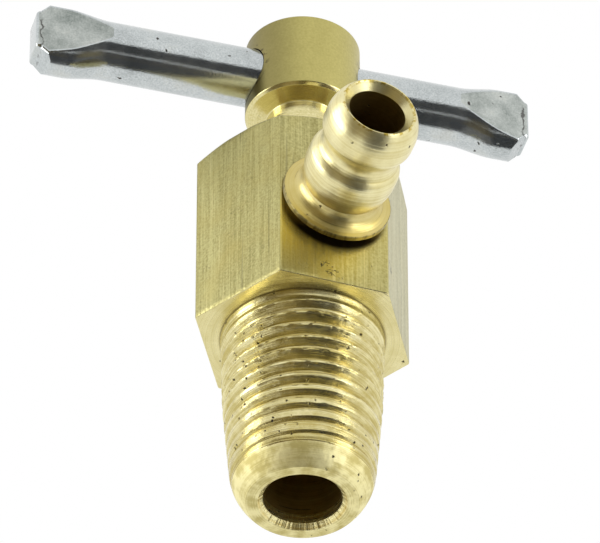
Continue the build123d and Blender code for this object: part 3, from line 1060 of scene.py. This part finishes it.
def hole_shade(n, reach, height, place):
    """Painted shade on the stem's head round the cross hole, broken up by noise, and painted shade on its
    left side.
    """
    along, beside, above = split_place(n, mapped(n, place, location=(0, 0, -BAR_HEIGHT)))
    ring = n.ramp_value(distance_off(n, beside, above), *HOLE_SHADE_REACH, 1.0, 0.0)
    ring = n.times(ring, n.ramp_value(noise(n, place, 1600.0, 3.0), 0.45, 0.62))
    return n.most(ring, n.ramp_value(along, *HEAD_SHADE_SIDE, 0.7, 0.0, smooth=True))


def zinc_plate(name, dull, bright, rough, depth, spots, spread, fine):
    """Zinc-plated steel: grey with a fine grain, dull patches and specks."""
    material, n, place = new_finish(name)
    grain = noise(n, place, 6500.0, 3.0, 0.6)
    drawn = noise(n, mapped(n, place, (90, 3200, 3200)), 1.0, 3.0)
    cloud = noise(n, place, 420.0, 4.0)
    pits = specks(n, place, scale=1300.0, size=0.22, share=spots)

    # Ragged dark line across each tip, where the plate folded as the end was pressed
    on_bar = mapped(n, place, location=(-BAR_OFFSET, 0, 0), rotation=(0, 0, -BAR_TURN))
    from_tip = n.minus(BAR_HALF, n.math("ABSOLUTE", split_place(n, on_bar)[0]))
    wander = n.minus(noise(n, place, 900.0, 4.0), 0.5)
    from_tip = n.math("MULTIPLY_ADD", wander, FOLD_WANDER, from_tip)
    off_fold = n.apart(from_tip, FOLD_PLACE)
    fold = n.ramp_value(off_fold, *FOLD_WIDTH, 0.8, 0.0)
    fold = n.times(fold, n.ramp_value(noise(n, place, 500.0, 2.0), 0.42, 0.5))
    pits = n.most(pits, fold)
    tone = n.plus(n.times(grain, fine), n.times(cloud, 1 - fine))
    tone = n.ramp_value(tone, 0.5 - spread, 0.5 + spread)
    colour = blend(n, tone, dull, bright)
    clouded = n.ramp_value(cloud, 0.55, 0.75, 0.0, 0.5)
    colour = blend(n, clouded, colour, (0.50, 0.50, 0.44))
    colour = blend(n, pits, colour, (0.05, 0.045, 0.04))
    roughness = n.ramp_value(cloud, 0.3, 0.7, rough, rough + 0.1)
    height = n.plus(grain, n.times(drawn, 0.5))
    height = n.minus(height, n.times(pits, 3.0))
    finish_surface(n, colour, roughness, height, depth, 0.92)
    return material


def zinc_finishes():
    return [
        zinc_plate(
            "zinc_plate", (0.40, 0.43, 0.43), (0.68, 0.72, 0.72), rough=0.09, depth=0.009,
            spots=0.06, spread=0.18, fine=0.5,
        ),
        zinc_plate(
            "pressed_zinc", (0.24, 0.27, 0.25), (0.64, 0.67, 0.64), rough=0.36, depth=0.010,
            spots=0.10, spread=0.16, fine=0.3,
        ),
    ]


def seat_rubber():
    material, n, place = new_finish("seat_rubber")
    bloom = noise(n, place, 900.0, 4.0)
    colour = blend(n, bloom, (0.012, 0.012, 0.012), (0.035, 0.034, 0.032))
    finish_surface(n, colour, 0.7, bloom, 0.01, 0.0)
    return material


def brass_finishes():
    nipple_axis = {
        "location": Matrix.Rotation(NIPPLE_LEAN - pi / 2, 4, "X") @ -NIPPLE_START,
        "rotation": (NIPPLE_LEAN - pi / 2, 0, 0),
    }
    dark, light = (0.60, 0.52, 0.21), (0.84, 0.77, 0.43)
    bore = {"rough": 0.38, "lines": 5000.0, "depth": 0.01}
    return {
        "drawn": drawn_brass(),
        "turned": turned_brass(
            # Painted shade in the corner under the shoulder
            "turned_brass", dark, light, rough=0.24, stains_and_shade=[(shoulder_shade, (0.16, 0.11, 0.03))]
        ),
        "thread": turned_brass(
            "thread_brass", (0.56, 0.47, 0.17), light, rough=0.16, depth=0.012, pits=0.12,
            # Painted shade, darker brown, deep in the thread's grooves
            stains_and_shade=[(groove_shade, (0.46, 0.36, 0.09))], dents=0.02, spread=0.09,
        ),
        "nose": turned_brass(
            "nose_brass", (0.64, 0.56, 0.23), (0.92, 0.85, 0.47), rough=0.56, lines=6000.0,
            depth=0.012, pits=0.05, patches=0.9, dents=0.05, spread=0.12,
        ),
        # Brighter copy of brass for the countersink and the bore's mouth: painted light, with chatter
        # marks in its bumps
        "lip": turned_brass(
            "lip_lit_brass", (0.70, 0.54, 0.16), (1.0, 0.93, 0.52), rough=0.26, lines=5000.0,
            depth=0.02, dents=0.20, dent_scale=9.0, chatter=True, spread=0.10, metallic=0.9,
        ),
        # Darker copies of brass for the bores: painted shade inside them
        "bore": turned_brass("bore_shaded_brass", (0.42, 0.30, 0.08), (0.60, 0.46, 0.17), **bore),
        "nipple": turned_brass(
            "nipple_brass", (0.66, 0.57, 0.25), (0.93, 0.87, 0.52), rough=0.27, lines=5200.0,
            depth=0.020, pits=0.012,
            stains_and_shade=[(root_and_mouth_marks, (0.54, 0.41, 0.08)), (flange_burrs, (0.20, 0.165, 0.06))],
            **nipple_axis,
        ),
        "nipple_bore": turned_brass(
            "nipple_bore_shaded_brass", (0.26, 0.17, 0.04), (0.38, 0.27, 0.09), **bore, **nipple_axis
        ),
        "head": turned_brass(
            "head_brass", (0.41, 0.36, 0.115), (0.59, 0.525, 0.19), rough=0.34, lines=6000.0,
            # Painted shade round the cross hole and on the head's left side
            depth=0.003, pits=0.012, line_share=0.12, stains_and_shade=[(hole_shade, (0.10, 0.08, 0.03))],
            stroke=0.0, spread=0.42,
        ),
        "neck": turned_brass(
            "neck_brass", dark, light, rough=0.14, lines=7000.0, depth=0.004, pits=0.012, line_share=0.4
        ),
    }


# Stage: white surroundings, soft boxes, dark cards and a floor that shows from above only

def view_axes():
    azimuth, elevation = CAMERA_AZIMUTH, CAMERA_ELEVATION
    right = Vector((cos(azimuth), sin(azimuth), 0))
    back = Vector((sin(azimuth) * cos(elevation), -cos(azimuth) * cos(elevation), sin(elevation)))
    return right, back.cross(right), back


def make_camera():
    right, up, back = view_axes()
    camera = bpy.data.cameras.new("camera")
    obj = add_object("camera", camera)
    camera.sensor_fit = "HORIZONTAL"
    camera.sensor_width = SENSOR_WIDTH
    camera.lens = CAMERA_DISTANCE * PIXELS_PER_METRE / IMAGE_WIDTH * SENSOR_WIDTH
    camera.clip_start = CLIP_START
    across = (IMAGE_WIDTH / 2 - SHOULDER_PIXEL[0]) / PIXELS_PER_METRE
    above = (SHOULDER_PIXEL[1] - IMAGE_HEIGHT / 2) / PIXELS_PER_METRE
    place = Vector((0, 0, SHOULDER)) + CAMERA_DISTANCE * back + across * right + above * up
    axes = Matrix((right, up, back)).transposed().to_4x4()
    obj.matrix_world = Matrix.Translation(place) @ axes
    bpy.context.scene.camera = obj


def soft_box(name, direction, width):
    """Lamp at a distance from the object's middle, facing it."""
    lamp = bpy.data.lights.new(name, "AREA")
    lamp.shape = "RECTANGLE"
    lamp.size = width
    lamp.size_y = BOX_HEIGHT
    lamp.energy = BOX_BRIGHTNESS * pi * width * BOX_HEIGHT
    obj = add_object(name, lamp)
    turn = direction.to_track_quat("Z", "Y").to_matrix().to_4x4()
    obj.matrix_world = Matrix.Translation(STAGE_MIDDLE + BOX_DISTANCE * direction) @ turn


def toward(across, above):
    """Direction from the object, by its angles right of the camera and above it, in degrees."""
    right, up, back = view_axes()
    across, above = radians(across), radians(above)
    return cos(above) * (cos(across) * back + sin(across) * right) + sin(above) * up


def dark_card(name, across, above, colour):
    """Curved card round the object, between two angles right of the camera and two above it."""
    steps = CARD_STEPS
    points = []
    faces = []
    for row in range(steps + 1):
        for column in range(steps + 1):
            side = across[0] + (across[1] - across[0]) * column / steps
            rise = above[0] + (above[1] - above[0]) * row / steps
            points.append(STAGE_MIDDLE + CARD_DISTANCE * toward(side, rise))
            if row < steps and column < steps:
                corner = row * (steps + 1) + column
                faces.append((corner, corner + 1, corner + steps + 2, corner + steps + 1))
    card = make_object(name, points, faces)
    material, n = new_material(name)
    light = n.put("ShaderNodeEmission", {"Color": colour, "Strength": 1.0})
    n.put("ShaderNodeOutputMaterial", {"Surface": light.outputs[0]})
    card.data.materials.append(material)
    card.visible_camera = False
    card.visible_diffuse = False
    card.visible_shadow = False


def make_floor():
    corners = [(-1, -1), (1, -1), (1, 1), (-1, 1)]
    points = [(x * FLOOR_HALF, y * FLOOR_HALF, FLOOR_HEIGHT) for x, y in corners]
    floor = make_object("floor", points, [(0, 1, 2, 3)])
    material, n = new_material("pale_floor")
    below = n.put("ShaderNodeNewGeometry").outputs["Backfacing"]
    pale = n.put("ShaderNodeBsdfDiffuse", {"Color": (0.85, 0.85, 0.85)})
    clear = n.put("ShaderNodeBsdfTransparent")
    surface = n.put("ShaderNodeMixShader", {0: below, 1: pale.outputs[0], 2: clear.outputs[0]})
    n.put("ShaderNodeOutputMaterial", {"Surface": surface.outputs[0]})
    floor.data.materials.append(material)
    floor.visible_glossy = False
    floor.visible_shadow = False


def make_world():
    world = bpy.data.worlds.new("white_surroundings")
    bpy.context.scene.world = world
    world.use_nodes = True
    n = Nodes(world.node_tree)
    path = n.put("ShaderNodeLightPath").outputs
    seen = n.most(path["Is Camera Ray"], path["Is Glossy Ray"], path["Is Transmission Ray"])
    strength = n.ramp_value(seen, 0.0, 1.0, 0.6, 1.0)
    light = n.put("ShaderNodeBackground", {"Color": (1, 1, 1), "Strength": strength})
    n.put("ShaderNodeOutputWorld", {"Surface": light.outputs[0]})


def make_stage():
    make_world()
    make_floor()
    make_camera()
    soft_box("left_soft_box", toward(-84, 14), 140 * MM)
    soft_box("right_soft_box", toward(66, 14), 100 * MM)
    cards = {
        "left_card": ((-58, -30), (-22, 42), (0.15, 0.115, 0.05)),
        "pale_card": ((-30, -6), (-22, 42), (0.30, 0.245, 0.13)),
        "middle_card": ((-6, 16), (-22, 42), (0.10, 0.075, 0.03)),
        "lower_bar_card": ((8, 32), (-60, -3), (0.020, 0.022, 0.028)),
        "tip_card": ((-20, 8), (-60, -22), (0.14, 0.135, 0.13)),
        "flare_card": ((32, 48), (-60, -22), (0.10, 0.10, 0.10)),
        "upper_bar_card": ((16, 46), (0, 36), (0.022, 0.023, 0.026)),
        "right_card": ((32, 52), (-22, 0), (0.13, 0.10, 0.04)),
    }
    for name, (across, above, colour) in cards.items():
        dark_card(name, across, above, colour)


def dress(piece, body, node):
    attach(piece, body)
    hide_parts(node)


bpy.context.scene.view_settings.view_transform = "Standard"
brass = brass_finishes()
thread = thread_tree()
dress(make_valve_body(thread, brass), "body", "valve_body")
dress(make_hose_nipple(brass), "body", "hose_nipple")
dress(make_stem(thread, brass), "stem", "stem")
dress(make_seat_ring(seat_rubber()), "lifted_ring", "seat_ring")
dress(make_handle_bar(zinc_finishes()), "cross_bar", "handle_bar")
make_stage()
